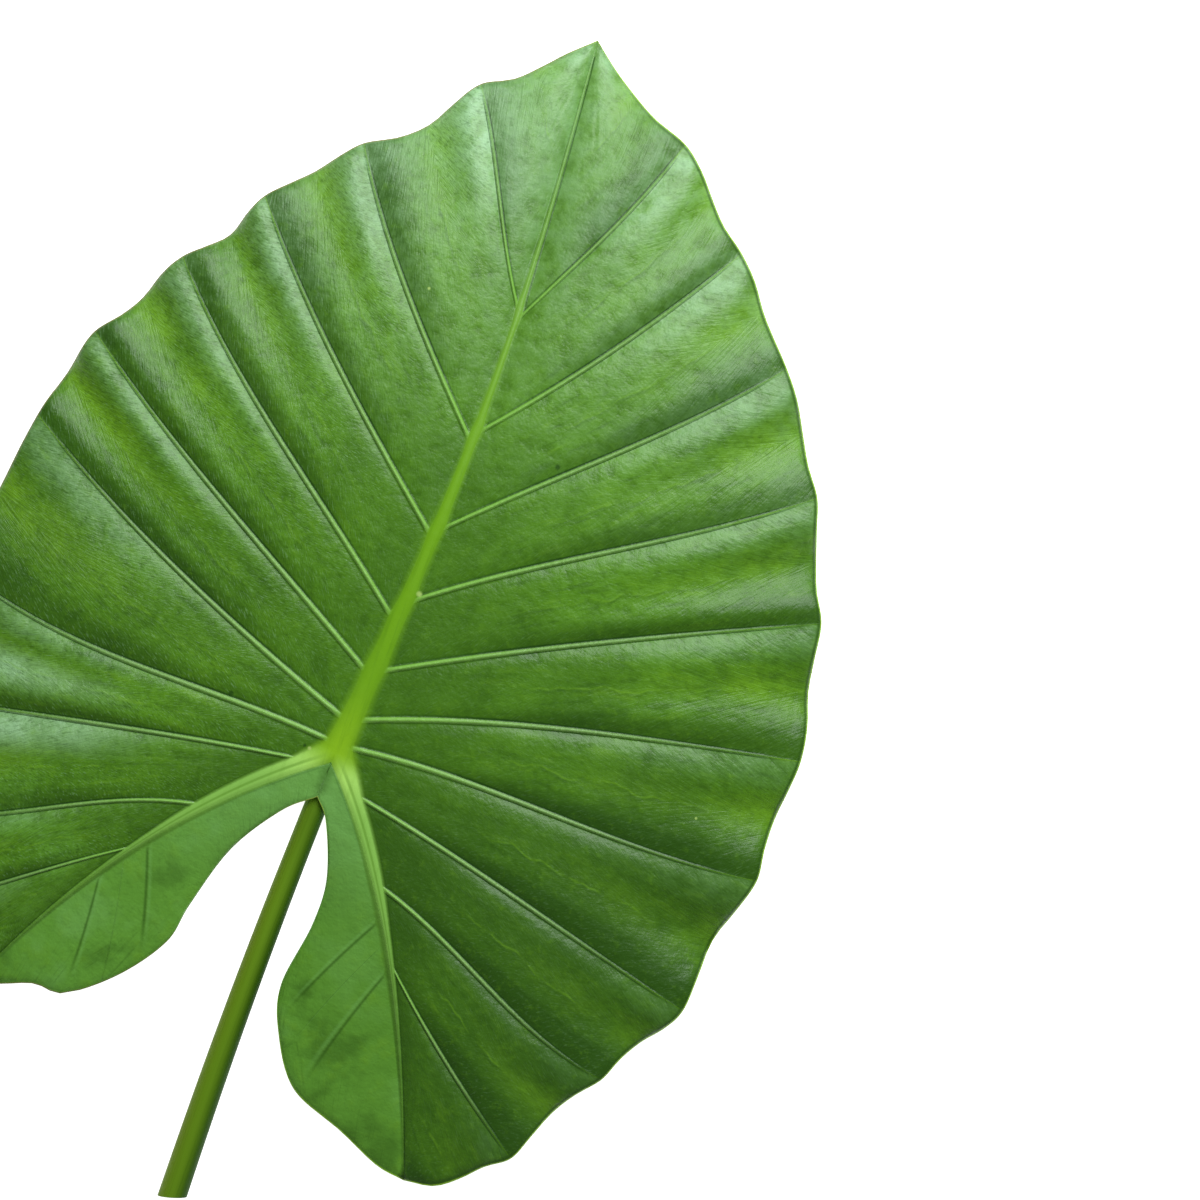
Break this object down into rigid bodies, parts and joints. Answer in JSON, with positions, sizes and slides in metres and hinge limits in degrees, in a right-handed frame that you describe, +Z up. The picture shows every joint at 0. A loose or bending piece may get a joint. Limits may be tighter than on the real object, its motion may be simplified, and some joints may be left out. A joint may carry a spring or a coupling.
{
  "type": "giant taro leaf",
  "caption": "Large heart-shaped leaf with a waved margin, raised ribs and a cut stalk, lying face up.",
  "frame": {"origin": "on the surface that the leaf lies on, under the spot where the stalk joins the blade", "axes": "+Y from the stalk's joint along the midrib to the tip, +X to the right seen from above, +Z up, out of the upper face"},
  "size_m": [0.4728, 0.6803, 0.027],
  "materials": {
    "waxy_leaf": "satin",
    "leaf_stalk": "satin"
  },
  "bodies": {
    "root": {"leaf_blade": "waxy_leaf", "petiole": "leaf_stalk"}
  },
  "joints": []
}
